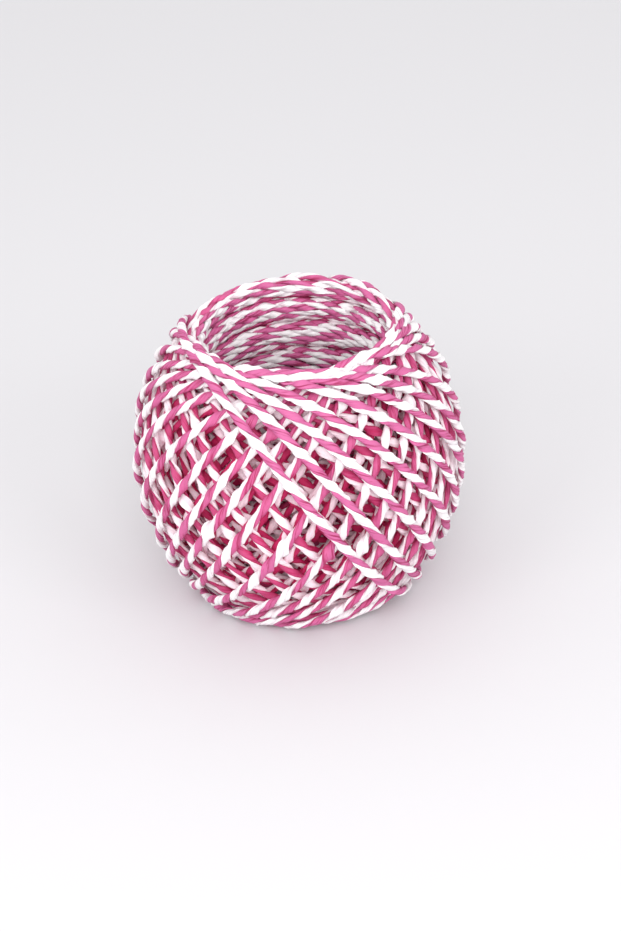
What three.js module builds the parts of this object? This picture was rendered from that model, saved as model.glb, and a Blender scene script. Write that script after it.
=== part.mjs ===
// A hollow-hearted ball of two-ply paper cord, as wound on a round former that was then drawn out.
// Millimetres, +Z up along the open hole, origin at the middle of the face that the ball stands on.
//
// Every turn of the cord is a loop that leans over the equator by the same angle. Each new loop
// is laid a little further round than the one before, so the turns that climb and the turns that
// fall cross in an even net of diamonds. The skin below is that net: ridges for the turns of the
// last layer, pits for the gaps between them.

import * as THREE from 'three';
import { mergeVertices } from 'three/addons/utils/BufferGeometryUtils.js';

// Driving dimensions

const newestRadius = 41;      // from the axis to the top of the newest turn, at the widest place
const poleStretch = 1.14;     // the ball is a little longer along its axis than a true sphere
const cordThickness = 2.1;    // over both plies
const turnsPerLayer = 27;     // loops laid in one full trip round the ball
const turnLean = 50;          // degrees that each loop leans over the equator
const newestTurn = 101;       // degrees round the axis, opposite to where the newest loop falls

const halfHeight = 35.8;      // from the equator to the crest of either rim
const crestRadius = 24.8;     // the middle of a rim's crest
const flatWidth = 2.8;        // of the ring that the ball stands on
const crestDrop = 0.7;        // how far the upper crest rounds off over half that width
const lipRadius = 21.4;       // of the hole, just inside a rim
const lipDepth = 3.0;         // from the crest down to the lip
const waistRadius = 20.7;     // of the hole, at the equator

const pitDepth = 2.3 * cordThickness;       // from the upper turns down between those below
const shoulderDepth = 1.1 * cordThickness;  // beside a crossing

const cordColour = 0xd9638a;

// The net of crossings

const stepsPerTurn = 4;       // grid columns from one loop to the next, and grid rows too
const columns = turnsPerLayer * stepsPerTurn;
const netRows = 22;           // rows of the net on each side of the equator
const evenRows = 5;           // from this row on the net starts to even out
const gridStep = 2 * Math.PI / columns;
const lean = THREE.MathUtils.degToRad(turnLean);
const newest = THREE.MathUtils.degToRad(newestTurn);

/** A remainder that is never negative. */
function wrap(value, period) {
  return ((value % period) + period) % period;
}

/**
 * How many loops ago the climbing turn at this place was laid. It runs along rising diagonals. A
 * loop climbs half way round from where it falls, and has moved on by half a step there.
 */
function climbingAge(row, column) {
  return wrap((column - row) / stepsPerTurn - 0.5, turnsPerLayer);
}

/** How many loops ago the falling turn at this place was laid. It runs along falling diagonals. */
function fallingAge(row, column) {
  return wrap((column + row) / stepsPerTurn - turnsPerLayer / 2, turnsPerLayer);
}

/**
 * How far the top of a turn lies below the newest one. A layer is two cords thick, so a turn sinks
 * by two cords in one trip round. Climbing turns lie a little higher below the equator and lower
 * above it, falling turns the other way, so that two turns that cross are always one cord apart.
 */
function sinkOfTurn(age, row, climbs) {
  const shift = cordThickness * (row * gridStep) / Math.PI;
  return 2 * cordThickness * age / turnsPerLayer + (climbs ? shift : -shift);
}

/** The depth of the skin at one point of the net: on a crossing, a turn, a pit or beside one. */
function netDepth(row, column) {
  const climbing = climbingAge(row, column);
  const falling = fallingAge(row, column);
  const climbingSink = sinkOfTurn(climbing, row, true);
  const fallingSink = sinkOfTurn(falling, row, false);
  const upperSink = Math.min(climbingSink, fallingSink);
  const onClimbing = Number.isInteger(climbing);
  const onFalling = Number.isInteger(falling);
  if (onClimbing && onFalling) return upperSink;
  if (onClimbing) return climbingSink;
  if (onFalling) return fallingSink;
  const inPit = wrap(climbing, 1) === 0.5 && wrap(falling, 1) === 0.5;
  return upperSink + (inPit ? pitDepth : shoulderDepth);
}

/** The radius of the skin. Near the rims, where the turns crowd together, the net evens out. */
function netRadius(row, column) {
  const evenDepth = cordThickness / 2;
  const closeness = THREE.MathUtils.smoothstep(Math.abs(row), evenRows, netRows);
  return newestRadius - THREE.MathUtils.lerp(netDepth(row, column), evenDepth, closeness);
}

/** Latitude of a net row. A loop's height grows with the sine of the way it has gone round. */
function rowLatitude(row) {
  return Math.atan(Math.tan(lean) * Math.sin(row * gridStep));
}

/** One ring of the net, from the first column round to the last. */
function netRing(row) {
  const latitude = rowLatitude(row);
  const ring = [];
  for (let column = 0; column < columns; column += 1) {
    const longitude = newest + column * gridStep;
    const radius = netRadius(row, column);
    const across = radius * Math.cos(latitude);
    ring.push(new THREE.Vector3(
      across * Math.cos(longitude),
      across * Math.sin(longitude),
      poleStretch * radius * Math.sin(latitude),
    ));
  }
  return ring;
}

/** A plain ring of the same columns at one radius and height. */
function plainRing(radius, height) {
  const ring = [];
  for (let column = 0; column < columns; column += 1) {
    const longitude = newest + column * gridStep;
    ring.push(new THREE.Vector3(radius * Math.cos(longitude), radius * Math.sin(longitude), height));
  }
  return ring;
}

/** All rings in order: up the outside, over the top rim, down the hole, under the flat rim. */
function allRings() {
  const rings = [];
  for (let row = -netRows; row <= netRows; row += 1) rings.push(netRing(row));
  const crestHalf = flatWidth / 2;
  rings.push(plainRing(crestRadius + crestHalf, halfHeight - crestDrop));
  rings.push(plainRing(crestRadius, halfHeight));
  rings.push(plainRing(crestRadius - crestHalf, halfHeight - crestDrop));
  rings.push(plainRing(lipRadius, halfHeight - lipDepth));
  rings.push(plainRing(waistRadius, 0));
  rings.push(plainRing(lipRadius, lipDepth - halfHeight));
  rings.push(plainRing(crestRadius - crestHalf, -halfHeight));
  rings.push(plainRing(crestRadius + crestHalf, -halfHeight));
  return rings;
}

/** Joins each ring to the next with two triangles a cell, and the last ring back to the first. */
function woundGeometry() {
  const rings = allRings();
  const positions = [];
  const addTriangle = (a, b, c) => positions.push(...a, ...b, ...c);
  rings.forEach((ring, index) => {
    const next = rings[(index + 1) % rings.length];
    for (let column = 0; column < columns; column += 1) {
      const after = (column + 1) % columns;
      const risingDiagonal = (index + column) % 2 === 0;
      if (risingDiagonal) {
        addTriangle(ring[column], ring[after], next[after]);
        addTriangle(ring[column], next[after], next[column]);
      } else {
        addTriangle(ring[column], ring[after], next[column]);
        addTriangle(ring[after], next[after], next[column]);
      }
    }
  });
  const geometry = new THREE.BufferGeometry();
  geometry.setAttribute('position', new THREE.Float32BufferAttribute(positions, 3));
  return mergeVertices(geometry);
}

// The ball, standing on the flat of its lower rim

const cordMaterial = new THREE.MeshStandardMaterial({ color: cordColour, roughness: 0.75, metalness: 0 });
const woundBall = new THREE.Mesh(woundGeometry(), cordMaterial);
woundBall.name = 'wound_ball';
woundBall.geometry.computeVertexNormals();
woundBall.position.z = halfHeight;

const roll = new THREE.Group();
roll.add(woundBall);

export default roll;
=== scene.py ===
# %% [markdown]
# A ball of two-ply paper cord, wound round a former that was drawn out afterwards, so that an open
# hole runs along its axis. The whole ball is one cord some twenty metres long. This lesson lays the
# cord turn by turn as a formula, lets the turns push each other apart where they meet, and then
# sweeps the two twisted plies along it. Everything is in metres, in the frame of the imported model.

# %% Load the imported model
import math

import bpy
import numpy as np
from mathutils import Matrix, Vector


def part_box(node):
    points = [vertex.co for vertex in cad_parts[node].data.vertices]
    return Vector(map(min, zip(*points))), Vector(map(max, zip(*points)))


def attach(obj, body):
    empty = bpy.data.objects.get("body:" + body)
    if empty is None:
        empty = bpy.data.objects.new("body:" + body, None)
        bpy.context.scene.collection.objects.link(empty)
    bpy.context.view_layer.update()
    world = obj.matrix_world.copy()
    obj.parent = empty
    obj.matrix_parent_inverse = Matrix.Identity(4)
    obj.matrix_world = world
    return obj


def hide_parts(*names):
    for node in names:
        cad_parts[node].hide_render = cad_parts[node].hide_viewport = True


MM = 0.001

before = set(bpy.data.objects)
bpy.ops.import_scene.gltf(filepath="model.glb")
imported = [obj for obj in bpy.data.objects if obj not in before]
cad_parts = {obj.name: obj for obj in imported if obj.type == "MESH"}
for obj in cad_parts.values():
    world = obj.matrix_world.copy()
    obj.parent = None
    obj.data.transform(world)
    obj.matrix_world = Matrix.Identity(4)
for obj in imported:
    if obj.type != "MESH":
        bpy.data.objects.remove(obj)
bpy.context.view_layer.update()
ball_low, ball_high = (np.array(corner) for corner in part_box("wound_ball"))
ball_height = ball_high[2] - ball_low[2]
print("packed ball, mm:", np.round((ball_high - ball_low) / MM, 1))

# %% [markdown]
# The sizes of the winding. A winder tilts the former and turns it slowly while the cord runs over
# it, so every turn leans over the equator by the same angle and the next one starts a little
# further round. The cord gets thicker by two cords in one trip round, once for the turns that climb
# and once for those that fall. A handful of numbers says all of it. The solid model is driven by
# the same ones, some of them at slightly different values.

# %% Sizes of the winding
CORD = 2.1 * MM                       # thickness over both plies
NEWEST_RADIUS = 41.0 * MM             # from the axis to the top of the newest turn
POLE_STRETCH = 1.11                   # how much longer the ball is along its axis
TURNS_PER_LAYER = 27.2                # turns laid in one full trip round the ball
LEAN = math.radians(52.0)             # of each turn over the equator
NEWEST_TURN = math.radians(98.0)      # where round the axis the newest turn climbs
END_ANGLE = math.radians(262.0)       # along the turn, where the cord's outer end is tucked in
WALL_RADIUS = 21.8 * MM               # of the turns that line the hole
SAMPLES_PER_TURN = 180                # points of the centre line

layer_depth = 2 * CORD
outer_radius = NEWEST_RADIUS - CORD / 2
turns = (outer_radius - WALL_RADIUS) / layer_depth * TURNS_PER_LAYER
centre_height = ball_low[2] + ball_height / 2
print("turns:", round(turns, 1))

# %% [markdown]
# The newest turns of the photographed ball don't lie at even steps. Here they follow one plain
# wave, as if the winder's guide swung to and fro once in about five turns. That is an assumption,
# and the wave grows towards the older turns. Where it ends, random drift takes over.
#
# Nothing wound by hand or on a worn machine is quite even. Slow random waves make the turns lean,
# drift and bulge a little. They are sums of sines with random phases from one seeded generator, so
# the ball comes out the same on every run.

# %% Unevenness of the winding
SWING = math.radians(0.35)            # that the guide's swing grows by, for each turn back
SWING_PERIOD = 5.3                    # turns
SWING_PEAK = 3.5                      # turns back from the newest, at its first peak
SWING_SPAN = 2.25                     # periods from that peak to the wave's end, at nought
LAST_SWUNG = SWING_PEAK + SWING_SPAN * SWING_PERIOD
DRIFT, DRIFT_TURNS = math.radians(1.3), 7.0     # of a turn's start, and turns in the longest wave
WOBBLE, WOBBLE_TURNS = math.radians(0.9), 9.0   # of the lean
BULGE, BULGE_TURNS = 0.12 * CORD, 3.0           # of the radius
SEED = 17
random = np.random.default_rng(SEED)


def slow_wave(position, longest, waves=9):
    """Sum of sines of random phase with a root mean square of one.

    The n-th sine is about n times as fast as the first, and weaker by the root of n.
    """
    phases = random.uniform(0, 2 * np.pi, waves)
    rates = (np.arange(waves) + random.uniform(0.6, 1.4, waves)) / longest
    weights = 1 / np.sqrt(np.arange(waves) + 1)
    wave = np.sin(2 * np.pi * position[..., None] * rates + phases) @ weights
    return wave / np.sqrt((weights ** 2).sum() / 2)


# %% [markdown]
# The centre line of the cord. One turn is a circle tilted by the lean, and the pole stretch makes
# it an ellipse. A turn that is n turns old has sunk by its share of the layer depth. Where a
# climbing and a falling turn cross, they have to be one cord apart, which a small wave along each
# turn sees to: its harmonics add up to a saw-tooth that swaps over at the rims. Deep turns can't
# lean so far, because the former stops them, so their lean comes from the wall's radius.

# %% The centre line
HARMONICS = np.arange(1, 4)           # of the saw-tooth, few enough to leave it smooth


def along(points):
    """Length along a line of points, at each point."""
    return np.concatenate([[0], np.cumsum(np.linalg.norm(np.diff(points, axis=0), axis=1))])


def turn_start(age):
    """Where round the axis each turn starts: even steps, with the swing or the drift added."""
    even = NEWEST_TURN + 2 * np.pi * age / TURNS_PER_LAYER
    swing = SWING * age * np.cos(2 * np.pi * (age - SWING_PEAK) / SWING_PERIOD)
    swung = even + np.where(age < LAST_SWUNG, swing, 0)
    return swung + DRIFT * np.clip(age - LAST_SWUNG, 0, 1) * slow_wave(age, DRIFT_TURNS)


def cord_line(age):
    """Points of the centre line for an array of ages, in turns back from the newest.

    The point at angle t of a turn is (cos t, sin t cos lean, stretch sin t sin lean) times the
    turn's radius, turned about the axis by the angle where that turn starts.
    """
    angle = END_ANGLE - 2 * np.pi * age
    start = turn_start(age)
    terms = np.sin(2 * angle[:, None] * HARMONICS) * (-1.0) ** HARMONICS / HARMONICS
    saw = terms.sum(axis=1) / np.pi
    radius = outer_radius - layer_depth * age / TURNS_PER_LAYER + CORD * saw
    radius = radius + BULGE * slow_wave(age, BULGE_TURNS)
    steepest = np.arccos(np.minimum(WALL_RADIUS / radius, 1.0))
    lean = np.minimum(LEAN + WOBBLE * slow_wave(age, WOBBLE_TURNS), steepest)
    x = np.cos(angle)
    y = np.sin(angle) * np.cos(lean)
    z = np.sin(angle) * np.sin(lean)
    turned_x = x * np.cos(start) - y * np.sin(start)
    turned_y = x * np.sin(start) + y * np.cos(start)
    return np.stack([turned_x, turned_y, z * POLE_STRETCH], axis=1) * radius[:, None]


ages = np.arange(0, turns, 1 / SAMPLES_PER_TURN)
line = cord_line(ages)
print("cord before settling, m:", round(float(along(line)[-1]), 2))

# %% [markdown]
# The turns crowd together at the rims, where the formula would run them through each other. Real
# ones push apart and pile up into the thick rim. The same thing happens here: all pairs of points
# that are close are found through a grid of cells, and every pair that is nearer than the contact
# distance is pushed apart, a little in each round. The moves are evened out along the cord, because
# paper cord is stiff. Three walls stop them: the former, the table, and the ball's outer form.

# %% Let the turns settle
CONTACT = 0.93 * CORD                 # between centre lines, as the soft cord gives a little
ROUNDS, QUICK_ROUNDS = 80, 10
PAIRS_EVERY = 20                      # rounds, after which the close pairs are found again
PAIRS_BEYOND = 0.8 * MM               # added to the contact distance, for contacts to come
SAME_PLACE = 8                        # samples along the cord that don't push each other
EVENINGS = 6                          # times that the moves are evened out in each round
KEPT = 0.995                          # share of the moves that a round keeps, as the cord is taut
OUTER_ROOM = 0.15 * CORD              # that a turn may rise above the outer form
TINY = 1e-9                           # keeps two points at one place from a division by nought


def close_pairs(points, reach):
    """Index pairs of points nearer than reach, by sorting the points into cells of that size."""
    cell = np.floor((points - points.min(axis=0)) / reach).astype(np.int64) + 1
    size = cell.max(axis=0) + 2
    key = (cell[:, 0] * size[1] + cell[:, 1]) * size[2] + cell[:, 2]
    order = np.argsort(key, kind="stable")
    sorted_key = key[order]
    found = []
    for shift in np.ndindex(3, 3, 3):
        step = ((shift[0] - 1) * size[1] + shift[1] - 1) * size[2] + shift[2] - 1
        first = np.searchsorted(sorted_key, key + step, "left")
        count = np.searchsorted(sorted_key, key + step, "right") - first
        one = np.repeat(np.arange(len(points)), count)
        within = np.arange(count.sum()) - np.repeat(np.cumsum(count) - count, count)
        other = order[np.repeat(first, count) + within]
        distance = np.linalg.norm(points[one] - points[other], axis=1)
        near = (other - one > SAME_PLACE) & (distance < reach)
        found.append(np.stack([one[near], other[near]]))
    return np.concatenate(found, axis=1)


def keep_inside(points):
    """Moves points out of the former, back inside the outer form, and up from the table."""
    across = np.linalg.norm(points[:, :2], axis=1)
    points[:, :2] *= np.maximum(WALL_RADIUS / across, 1)[:, None]
    from_middle = np.hypot(np.maximum(across, WALL_RADIUS), points[:, 2] / POLE_STRETCH)
    points /= np.maximum(from_middle / (outer_radius + OUTER_ROOM), 1)[:, None]
    points[:, 2] = np.maximum(points[:, 2], -ball_height / 2 + CORD / 2)


def settle(points, rounds, contact):
    """Pushes close pairs apart to the contact distance, evening each move out along the cord.

    Each point of a pair moves by half of what is missing, and a point in n pairs by the sum of
    its pushes over the root of n.
    """
    rest = points.copy()
    moved = np.zeros_like(points)
    for number in range(rounds):
        if number % PAIRS_EVERY == 0:
            one, other = close_pairs(points, contact + PAIRS_BEYOND)
        apart = points[other] - points[one]
        distance = np.linalg.norm(apart, axis=1) + TINY
        push = np.clip(contact - distance, 0, None)[:, None] * apart / distance[:, None] * 0.5
        touches = (push != 0).any(axis=1)
        share = np.bincount(one, touches, len(points)) + np.bincount(other, touches, len(points))
        for axis in range(3):
            change = (np.bincount(other, push[:, axis], len(points))
                      - np.bincount(one, push[:, axis], len(points)))
            moved[:, axis] += change / np.sqrt(np.maximum(share, 1))
        for _ in range(EVENINGS):
            moved[1:-1] = 0.5 * moved[1:-1] + 0.25 * (moved[:-2] + moved[2:])
        moved *= KEPT
        points = rest + moved
        keep_inside(points)
        moved = points - rest
    return points


line = settle(line, ROUNDS, CONTACT)
line[:, 2] += centre_height
print("settled centre line, mm: from", np.round(line.min(axis=0) / MM, 1),
      "to", np.round(line.max(axis=0) / MM, 1))

# %% [markdown]
# The twist of the plies. The leaves in the photographed hole are shorter than those outside, so the
# twist gets tighter towards the inner end, and it wanders a little on the way.

# %% The twist
TWIST_LENGTH = 11.4 * MM              # along the cord, for one full turn of the plies
TIGHTER_FROM = 9.0                    # metres in from the outer end, where the twist gets tighter
TIGHTER_BY = 0.15                     # as a share of the twist
FIRST_TWIST = math.radians(150.0)     # of the plies at the cord's outer end
TWIST_WANDER, WANDER_LENGTH = 0.12, 0.35    # in twists, and metres in the longest wave

cord_length = along(line)
tighter = TIGHTER_BY * np.maximum(cord_length - TIGHTER_FROM, 0)
wander = TWIST_WANDER * slow_wave(cord_length, WANDER_LENGTH)
cord_twist = FIRST_TWIST + 2 * np.pi * ((cord_length + tighter) / TWIST_LENGTH + wander)
print("cord, m:", round(float(cord_length[-1]), 2))

# %% [markdown]
# Two plies make the cord, a full white one and a slimmer pink one, twisted to the left. Each ply is
# swept as a ring of points whose middle goes round the centre line once in a twist. The ring is a
# lens, wider along the twist than through it and sharp at both sides, so a ply shows as the pointed
# leaf that paper cord has. The ring's points keep their place along the ply, and a random bulge for
# each makes its lengthwise folds. Here and there a ply has been squashed, and its leaf lies open.

# %% Sweep the plies
PRESSED = 0.76                        # share of its thickness left to the cord, flat on the ball
LENS_POWER = 1.25                     # above 1 the lens gets sharper at its sides
FOLD, FOLD_LENGTH, FOLD_WAVES = 0.10, 0.03, 4   # share of a ring's size, metres, number of sines
FOLD_SHIFT = 9                        # metres along the wave, so that each fold has its own
WIDTH_WAVE, WIDTH_LENGTH = 0.13, 0.05           # share of the width, metres
DEPTH_WAVE, DEPTH_LENGTH = 0.10, 0.04           # share of the thickness, metres
OPEN_WIDER, OPEN_THINNER = 0.50, 0.15           # shares, where a leaf lies open
OPEN_LENGTH = 0.30 * TWIST_LENGTH     # from an open leaf's middle to a third of its bump's height
OUTWARD = 0.98                        # cosine of the angle within which a ply faces outward
PAINTED_BOUNCE_DEPTH = 2.5 * CORD                     # under the skin, where the painted bounce light in the colour is at its full
AROUND = 5 * MM                       # a ply's way round, as its UV map counts it
CREASED = {12: (0, 2, 3, 5, 9), 10: (0, 2, 4, 8), 7: (0, 2), 6: (0, 2)}   # columns, by sides


def unit(vectors):
    """The vectors at length one."""
    return vectors / np.linalg.norm(vectors, axis=-1, keepdims=True)


def squashed(length, twist, phase, places):
    """Bumps of height one, a leaf long, where the ply faces outward next to each of the places."""
    facing = length[np.cos(phase - twist) > OUTWARD]
    inside = places[(places > length[0]) & (places < length[-1])]
    if len(inside) == 0:
        return np.zeros(len(length))
    middles = facing[np.abs(facing - inside[:, None]).argmin(axis=1)]
    return np.exp(-((length[:, None] - middles) / OPEN_LENGTH) ** 2).max(axis=1)


def ply_rings(points, length, twist, phase, offset, wide, thick, sides, places):
    """Rings of one ply: a lens round a middle that turns about the line once in a twist."""
    tangent = unit(np.gradient(points, axis=0))
    outward = points - np.array([0, 0, centre_height])
    normal = unit(outward - (outward * tangent).sum(axis=1, keepdims=True) * tangent)
    side = np.cross(tangent, normal)
    turned = (phase - twist)[:, None]
    inner = PRESSED * np.cos(turned) * normal + np.sin(turned) * side
    cross = -PRESSED * np.sin(turned) * normal + np.cos(turned) * side
    around = np.linspace(0, 2 * np.pi, sides, endpoint=False)
    lens = np.sign(np.cos(around)) * np.abs(np.cos(around)) ** LENS_POWER
    fold_places = length[:, None] + random.uniform(0, FOLD_SHIFT, sides)
    folds = 1 + FOLD * slow_wave(fold_places, FOLD_LENGTH, FOLD_WAVES)
    flat = squashed(length, twist, phase, places)
    wider = 1 + WIDTH_WAVE * slow_wave(length, WIDTH_LENGTH) + OPEN_WIDER * flat
    deeper = 1 + DEPTH_WAVE * slow_wave(length, DEPTH_LENGTH) - OPEN_THINNER * flat
    width = wide * wider[:, None] * folds
    depth = thick * deeper[:, None] * folds
    return (points[:, None] + (offset + depth * lens)[..., None] * inner[:, None]
            + (width * np.sin(around))[..., None] * cross[:, None])


def painted_bounce_mask(points):
    """How deep points lie under the ball's skin: 0 at the skin or the hole, 1 where it is deep. This
    masks the painted bounce light in the paper's colour.
    """
    across = np.linalg.norm(points[..., :2], axis=-1)
    up = (points[..., 2] - centre_height) / POLE_STRETCH
    under_skin = outer_radius - np.hypot(across, up)
    behind_wall = across - WALL_RADIUS
    return np.clip(np.minimum(under_skin, behind_wall) / PAINTED_BOUNCE_DEPTH, 0, 1)


def tube_mesh(name, rings):
    """A closed tube of four-sided faces through the rings, with one face over each end."""
    steps, sides = rings.shape[:2]
    row, column = np.meshgrid(np.arange(steps - 1), np.arange(sides), indexing="ij")
    after = (column + 1) % sides
    quads = np.stack([row * sides + column, (row + 1) * sides + column,
                      (row + 1) * sides + after, row * sides + after], axis=-1).reshape(-1, 4)
    caps = np.stack([np.arange(sides), (steps - 1) * sides + np.arange(sides)[::-1]])
    corners = np.concatenate([quads.ravel(), caps.ravel()])
    starts = np.concatenate([np.arange(len(quads)) * 4, len(quads) * 4 + np.array([0, sides])])
    mesh = bpy.data.meshes.new(name)
    mesh.vertices.add(steps * sides)
    mesh.vertices.foreach_set("co", rings.ravel())
    mesh.loops.add(len(corners))
    mesh.loops.foreach_set("vertex_index", corners)
    mesh.polygons.add(len(starts))
    mesh.polygons.foreach_set("loop_start", starts)
    mesh.update(calc_edges=True)
    mesh.polygons.foreach_set("use_smooth", np.ones(len(starts), bool))
    return mesh


def crease(mesh, sides):
    """Makes the lengthwise edges of the creased columns sharp."""
    ends = np.empty(len(mesh.edges) * 2, int)
    mesh.edges.foreach_get("vertices", ends)
    ends = np.sort(ends.reshape(-1, 2), axis=1)
    lengthwise = ends[:, 1] - ends[:, 0] == sides
    sharp = mesh.attributes.new("sharp_edge", "BOOLEAN", "EDGE")
    sharp.data.foreach_set("value", lengthwise & np.isin(ends[:, 0] % sides, CREASED[sides]))


def add_uv(mesh, length, sides):
    """A UV map in metres, along the ply and round it. The end faces are all at nought."""
    row, column = np.meshgrid(np.arange(len(length) - 1), np.arange(sides), indexing="ij")
    along_uv = np.stack([length[row], length[row + 1], length[row + 1], length[row]], axis=-1)
    round_uv = np.stack([column, column, column + 1, column + 1], axis=-1) / sides * AROUND
    quad_uv = np.stack([along_uv.ravel(), round_uv.ravel()], axis=1)
    cap_uv = np.zeros((2 * sides, 2))
    layer = mesh.uv_layers.new(name="along_ply")
    layer.data.foreach_set("uv", np.concatenate([quad_uv, cap_uv]).ravel())


def tube_object(name, rings, length):
    """One stretch of a ply as an object, with its creases, UV map and depth in the ball, which masks
    the painted bounce light.
    """
    steps, sides = rings.shape[:2]
    mesh = tube_mesh(name, rings)
    crease(mesh, sides)
    add_uv(mesh, length, sides)
    # The depth in the ball is kept as the mask of the painted bounce light.
    depth = mesh.attributes.new("painted_bounce_mask", "FLOAT", "POINT")
    depth.data.foreach_set("value", painted_bounce_mask(rings).ravel())
    piece = bpy.data.objects.new(name, mesh)
    bpy.context.scene.collection.objects.link(piece)
    print(name, "triangles:", 2 * (steps - 1) * sides + 2 * (sides - 2))
    return piece


# %% [markdown]
# The outer turns show most, so they get the finest rings, and the deep ones that only glint through
# the gaps get coarse ones. The cord is cut into stretches by age, one piece for each ply. Most of
# the squashed places are random. Four more are set near the lower front, where leaves lie open in
# the photograph: a whole number of turns for each, and one share of a turn for all of them.

# %% The pieces
STRETCHES = [                         # name, first turn, last turn, sides, step along the cord
    ("newest", 0.0, 17.0, 12, 0.80 * MM),
    ("second", 17.0, 34.0, 10, 0.80 * MM),
    ("third", 34.0, 58.0, 7, 0.90 * MM),
    ("fourth", 58.0, 88.0, 6, 1.00 * MM),
    ("inner", 88.0, turns, 6, 1.00 * MM),
]
PLIES = [                             # name, phase of the twist, offset, half width, half thickness
    ("white", 0.0, 0.50 * MM, 1.11 * MM, 0.62 * MM),
    ("pink", np.pi, 0.46 * MM, 1.00 * MM, 0.58 * MM),
]
SQUASHED_PLACES = 30                  # random ones on each ply
LOWER_FRONT = 0.75                    # of a turn, where it climbs over the lower front
OPEN_TURNS = {"white": (10, 12), "pink": (12, 13)}   # whose leaf lies wide open there
TABLE_GAP = 0.02 * MM                 # under the flat ring, so that it doesn't show through


def squashed_places(ply):
    """Where the ply has been squashed, in metres along the cord: random places, then set ones."""
    open_places = np.interp(np.array(OPEN_TURNS[ply]) + LOWER_FRONT, ages, cord_length)
    return np.append(random.uniform(0, cord_length[-1], SQUASHED_PLACES), open_places)


def make_plies():
    """All stretches of both plies, as a list of the ply's name and its piece."""
    places = {ply: squashed_places(ply) for ply, *_ in PLIES}
    pieces = []
    for stretch, first, last, sides, step in STRETCHES:
        from_length, to_length = np.interp([first, min(last, ages[-1])], ages, cord_length)
        length = np.arange(from_length, to_length + step, step).clip(0, cord_length[-1])
        points = np.stack([np.interp(length, cord_length, values) for values in line.T], axis=1)
        twist = np.interp(length, cord_length, cord_twist)
        for ply, phase, *sizes in PLIES:
            rings = ply_rings(points, length, twist, phase, *sizes, sides, places[ply])
            rings[..., 2] = np.maximum(rings[..., 2], ball_low[2] + TABLE_GAP)
            pieces.append((ply, tube_object(f"{ply}_ply_{stretch}", rings, length)))
    return pieces


ply_pieces = make_plies()

# %% [markdown]
# Both plies are strips of thin crepe paper, rolled up and twisted. The paper has fine folds that
# run lengthwise, which a noise stretched along the ply gives as bump. The same noise paints shade
# into the colour of both plies where a crease lies low. Paper is matt, but a crease catches the
# light, so the roughness stays in the middle.

# %% Paper
PAPERS = {                            # the paper's own colours, painted shade in a crease, and painted bounce light deep in the ball
    "white": ((0.86, 0.85, 0.855), (0.66, 0.60, 0.635), (0.97, 0.78, 0.86)),
    "pink": ((0.56, 0.124, 0.295), (0.32, 0.022, 0.095), (0.52, 0.014, 0.105)),
}
PAPER_ROUGHNESS = 0.62
PAPER_GLOSS = 0.35
NOISE_PER_METRE = (110, 1300, 1)      # along the ply, round it, and through it
NOISE_DETAIL = 5.0
NOISE_ROUGHNESS = 0.6
BUMP_STRENGTH = 0.9
BUMP_HEIGHT = 0.30 * MM
CREASE_SHADE_NOISE, OPEN_NOISE = 0.38, 0.48   # noise at which the colour is all painted crease shade, and all the paper's own
MIX_FIRST, MIX_SECOND, MIX_RESULT = 6, 7, 2     # the mix node's sockets for colours


def fold_noise(nodes, links):
    """A noise stretched along the ply. Gives its output socket."""
    uv = nodes.new("ShaderNodeUVMap")
    uv.uv_map = "along_ply"
    stretch = nodes.new("ShaderNodeMapping")
    stretch.inputs["Scale"].default_value = NOISE_PER_METRE
    links.new(uv.outputs["UV"], stretch.inputs["Vector"])
    folds = nodes.new("ShaderNodeTexNoise")
    folds.inputs["Scale"].default_value = 1.0
    folds.inputs["Detail"].default_value = NOISE_DETAIL
    folds.inputs["Roughness"].default_value = NOISE_ROUGHNESS
    links.new(stretch.outputs["Vector"], folds.inputs["Vector"])
    return folds.outputs["Fac"]


def paper(name, light, painted_crease_shade, painted_bounce):
    """Crepe paper: folds from the noise as bump and as painted crease shade, and a painted bounce
    light deep in the ball.
    """
    material = bpy.data.materials.new(name)
    material.use_nodes = True
    nodes, links = material.node_tree.nodes, material.node_tree.links
    shader = nodes["Principled BSDF"]
    shader.inputs["Roughness"].default_value = PAPER_ROUGHNESS
    shader.inputs["Specular IOR Level"].default_value = PAPER_GLOSS
    folds = fold_noise(nodes, links)
    bump = nodes.new("ShaderNodeBump")
    bump.inputs["Strength"].default_value = BUMP_STRENGTH
    bump.inputs["Distance"].default_value = BUMP_HEIGHT
    links.new(folds, bump.inputs["Height"])
    links.new(bump.outputs["Normal"], shader.inputs["Normal"])
    ramp = nodes.new("ShaderNodeValToRGB")
    # Painted shade: the ramp darkens the paper's colour where the fold noise, which is also the
    # bump's height, lies low in a crease.
    stops = ((CREASE_SHADE_NOISE, painted_crease_shade), (OPEN_NOISE, light))
    for element, (noise, colour) in zip(ramp.color_ramp.elements, stops):
        element.position = noise
        element.color = (*colour, 1)
    links.new(folds, ramp.inputs["Fac"])
    # Painted bounce light: deeper in the ball the colour turns paler and pinker on the white ply and
    # a darker red on the pink, by the depth mask.
    depth = nodes.new("ShaderNodeAttribute")
    depth.attribute_name = "painted_bounce_mask"
    blend = nodes.new("ShaderNodeMix")
    blend.data_type = "RGBA"
    blend.inputs[MIX_SECOND].default_value = (*painted_bounce, 1)
    links.new(depth.outputs["Fac"], blend.inputs["Factor"])
    links.new(ramp.outputs["Color"], blend.inputs[MIX_FIRST])
    links.new(blend.outputs[MIX_RESULT], shader.inputs["Base Color"])
    return material


papers = {ply: paper(f"{ply}_crepe_paper", *colours) for ply, colours in PAPERS.items()}
for ply, piece in ply_pieces:
    piece.data.materials.append(papers[ply])
    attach(piece, "root")
    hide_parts("wound_ball")
print("materials:", [material.name for material in papers.values()])

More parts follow.
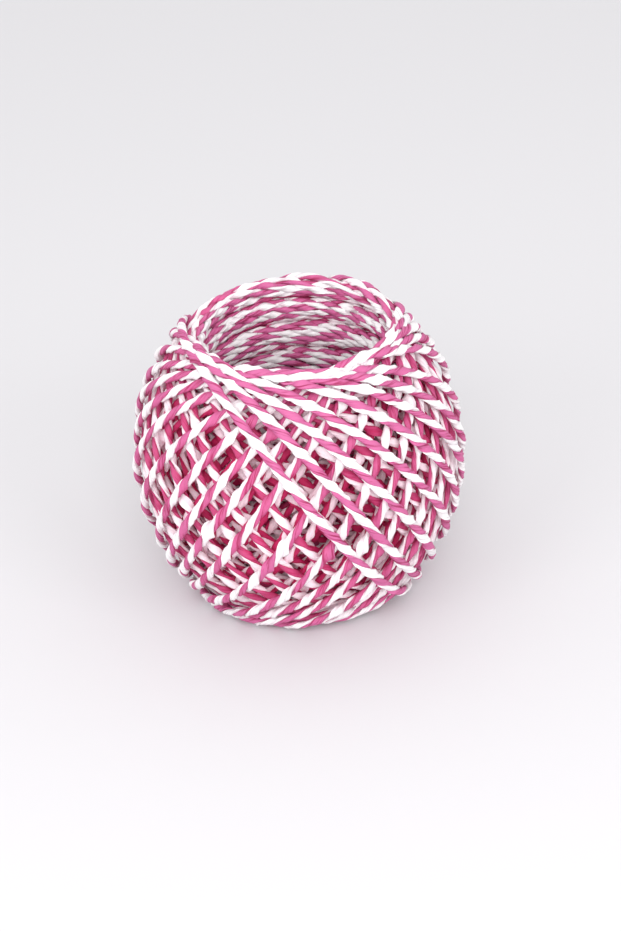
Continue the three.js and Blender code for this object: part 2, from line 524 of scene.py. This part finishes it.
# %% [markdown]
# The table is one large pale plane, with the light of a bright, even studio: a panel on either side
# and one over the camera, in a white room. White paper passes light on many times before it reaches
# the bottom of a gap, so more bounces are followed than usual.

# %% Table and light
TABLE_SIZE = 6.0
TABLE_COLOUR = (0.66, 0.65, 0.67)
TABLE_ROUGHNESS = 0.7
PANEL_SIZE = 0.4
PANELS = [                            # name, place, power in watts
    ("left_panel", (-0.50, -0.55, 0.42), 1.6),
    ("right_panel", (0.50, -0.55, 0.42), 1.6),
    ("front_panel", (0, -0.70, 0.55), 3.0),
]
ROOM_STRENGTH = 1.0
DIFFUSE_BOUNCES = 10
ball_middle = (0, 0, centre_height)


def table():
    """A square plane at the height the ball stands on."""
    half = TABLE_SIZE / 2
    mesh = bpy.data.meshes.new("table_top")
    mesh.from_pydata([(-half, -half, 0), (half, -half, 0), (half, half, 0), (-half, half, 0)], [],
                     [(0, 1, 2, 3)])
    plane = bpy.data.objects.new("table_top", mesh)
    bpy.context.scene.collection.objects.link(plane)
    material = bpy.data.materials.new("pale_table")
    material.use_nodes = True
    shader = material.node_tree.nodes["Principled BSDF"]
    shader.inputs["Base Color"].default_value = (*TABLE_COLOUR, 1)
    shader.inputs["Roughness"].default_value = TABLE_ROUGHNESS
    mesh.materials.append(material)


def panel(name, place, power):
    """A square area light at a place, turned to face the ball's middle."""
    light = bpy.data.lights.new(name, "AREA")
    light.shape = "SQUARE"
    light.size = PANEL_SIZE
    light.energy = power
    lamp = bpy.data.objects.new(name, light)
    lamp.location = place
    direction = np.array(ball_middle) - np.array(place)
    tilt = math.atan2(math.hypot(direction[0], direction[1]), -direction[2])
    lamp.rotation_euler = (tilt, 0, math.atan2(-direction[0], direction[1]))
    bpy.context.scene.collection.objects.link(lamp)


def white_room():
    """Even white light from all round."""
    world = bpy.data.worlds.new("white_room")
    bpy.context.scene.world = world
    world.use_nodes = True
    background = world.node_tree.nodes["Background"]
    background.inputs["Color"].default_value = (1, 1, 1, 1)
    background.inputs["Strength"].default_value = ROOM_STRENGTH


table()
white_room()
for name, place, power in PANELS:
    panel(name, place, power)
bpy.context.scene.cycles.diffuse_bounces = DIFFUSE_BOUNCES
bpy.context.scene.view_settings.view_transform = "Standard"
print("panels:", [name for name, *_ in PANELS])

# %% [markdown]
# The camera looks down at the ball from the front and is turned a little, so that the ball leans to
# the left. Its place follows from the angle, the distance, and the ball's width and place in the
# picture, which is 621 by 931 pixels.

# %% Camera
PICTURE = (621, 931)
BALL_PIXEL = (299.0, 450.0)           # the ball's middle in the picture
BALL_PIXELS_WIDE = 334.0
CAMERA_DISTANCE = 0.70
CAMERA_ELEVATION = math.radians(32.0)
CAMERA_ROLL = math.radians(2.5)
SENSOR = 36                           # millimetres, along the picture's longer side


def add_camera():
    """A camera whose focal length and aim put the ball at its size and place in the picture."""
    data = bpy.data.cameras.new("camera")
    camera = bpy.data.objects.new("camera", data)
    bpy.context.scene.collection.objects.link(camera)
    away = np.array([0, -math.cos(CAMERA_ELEVATION), math.sin(CAMERA_ELEVATION)])
    right = np.array([1.0, 0, 0])
    up = np.cross(right, -away)
    cos_roll, sin_roll = math.cos(CAMERA_ROLL), math.sin(CAMERA_ROLL)
    rolled_right = cos_roll * right - sin_roll * up
    rolled_up = sin_roll * right + cos_roll * up
    ball_width = line[:, 0].max() - line[:, 0].min() + CORD
    metres_per_pixel = ball_width / BALL_PIXELS_WIDE
    aim = (np.array(ball_middle)
           + rolled_right * (PICTURE[0] / 2 - BALL_PIXEL[0]) * metres_per_pixel
           - rolled_up * (PICTURE[1] / 2 - BALL_PIXEL[1]) * metres_per_pixel)
    matrix = np.eye(4)
    matrix[:3] = np.stack([rolled_right, rolled_up, away, aim + away * CAMERA_DISTANCE], axis=1)
    camera.matrix_world = Matrix(matrix.tolist())
    data.sensor_width = SENSOR
    data.lens = CAMERA_DISTANCE / metres_per_pixel / PICTURE[1] * SENSOR
    bpy.context.scene.camera = camera
    print("focal length, mm:", round(data.lens, 1))


add_camera()
